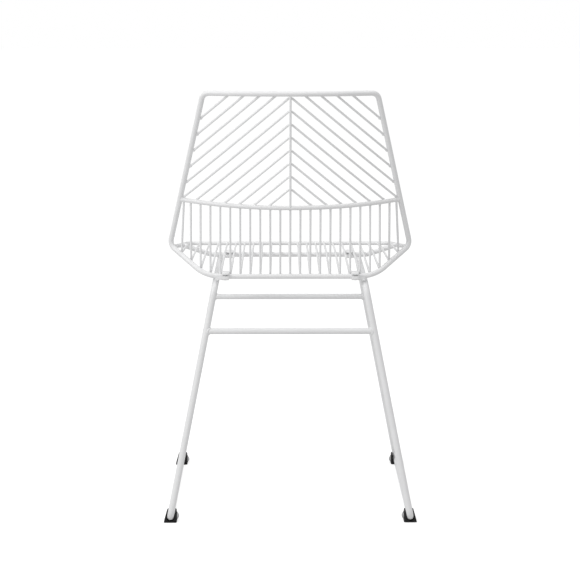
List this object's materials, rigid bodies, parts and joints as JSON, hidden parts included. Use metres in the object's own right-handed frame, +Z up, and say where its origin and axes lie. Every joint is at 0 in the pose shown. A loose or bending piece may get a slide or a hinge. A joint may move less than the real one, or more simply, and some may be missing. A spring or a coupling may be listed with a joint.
{
  "type": "wire mesh dining chair",
  "caption": "Armless dining chair with a bent wire basket seat, a herringbone wire back and a rod sled base on plastic glides.",
  "frame": {"origin": "on the floor, under the middle of the chair's overall box", "axes": "+Z up, +Y towards the chair's back, -Y the way a sitter faces, +X to the right as seen from the front"},
  "size_m": [0.459, 0.496, 0.775],
  "materials": {
    "white_powder_coat": "satin powder coat on steel rod and wire",
    "black_plastic": "matte moulded plastic",
    "zinc_plated_screw": "zinc plated steel"
  },
  "bodies": {
    "root": {"back_frame": "white_powder_coat", "basket_wire_middle": "white_powder_coat", "basket_wires_01": "white_powder_coat", "basket_wires_02": "white_powder_coat", "basket_wires_03": "white_powder_coat", "basket_wires_04": "white_powder_coat", "basket_wires_05": "white_powder_coat", "basket_wires_06": "white_powder_coat", "basket_wires_07": "white_powder_coat", "basket_wires_08": "white_powder_coat", "basket_wires_09": "white_powder_coat", "basket_wires_10": "white_powder_coat", "basket_wires_11": "white_powder_coat", "chevron_1": "white_powder_coat", "chevron_2": "white_powder_coat", "chevron_3": "white_powder_coat", "chevron_4": "white_powder_coat", "chevron_5": "white_powder_coat", "chevron_6": "white_powder_coat", "chevron_7": "white_powder_coat", "chevron_8": "white_powder_coat", "clamp_screws": "zinc_plated_screw", "front_stretcher": "white_powder_coat", "glide_screws": "zinc_plated_screw", "left_front_glide": "black_plastic", "left_front_lower_jaw": "white_powder_coat", "left_front_upper_jaw": "white_powder_coat", "left_rear_glide": "black_plastic", "left_rear_lower_jaw": "white_powder_coat", "left_rear_upper_jaw": "white_powder_coat", "left_sled_frame": "white_powder_coat", "lumbar_rod": "white_powder_coat", "rear_stretcher": "white_powder_coat", "right_front_glide": "black_plastic", "right_front_lower_jaw": "white_powder_coat", "right_front_upper_jaw": "white_powder_coat", "right_rear_glide": "black_plastic", "right_rear_lower_jaw": "white_powder_coat", "right_rear_upper_jaw": "white_powder_coat", "right_sled_frame": "white_powder_coat", "seat_cross_rod": "white_powder_coat", "seat_rim": "white_powder_coat", "spine_wire": "white_powder_coat", "top_diagonals_1": "white_powder_coat", "top_diagonals_2": "white_powder_coat", "top_diagonals_3": "white_powder_coat", "top_diagonals_4": "white_powder_coat"}
  },
  "joints": []
}
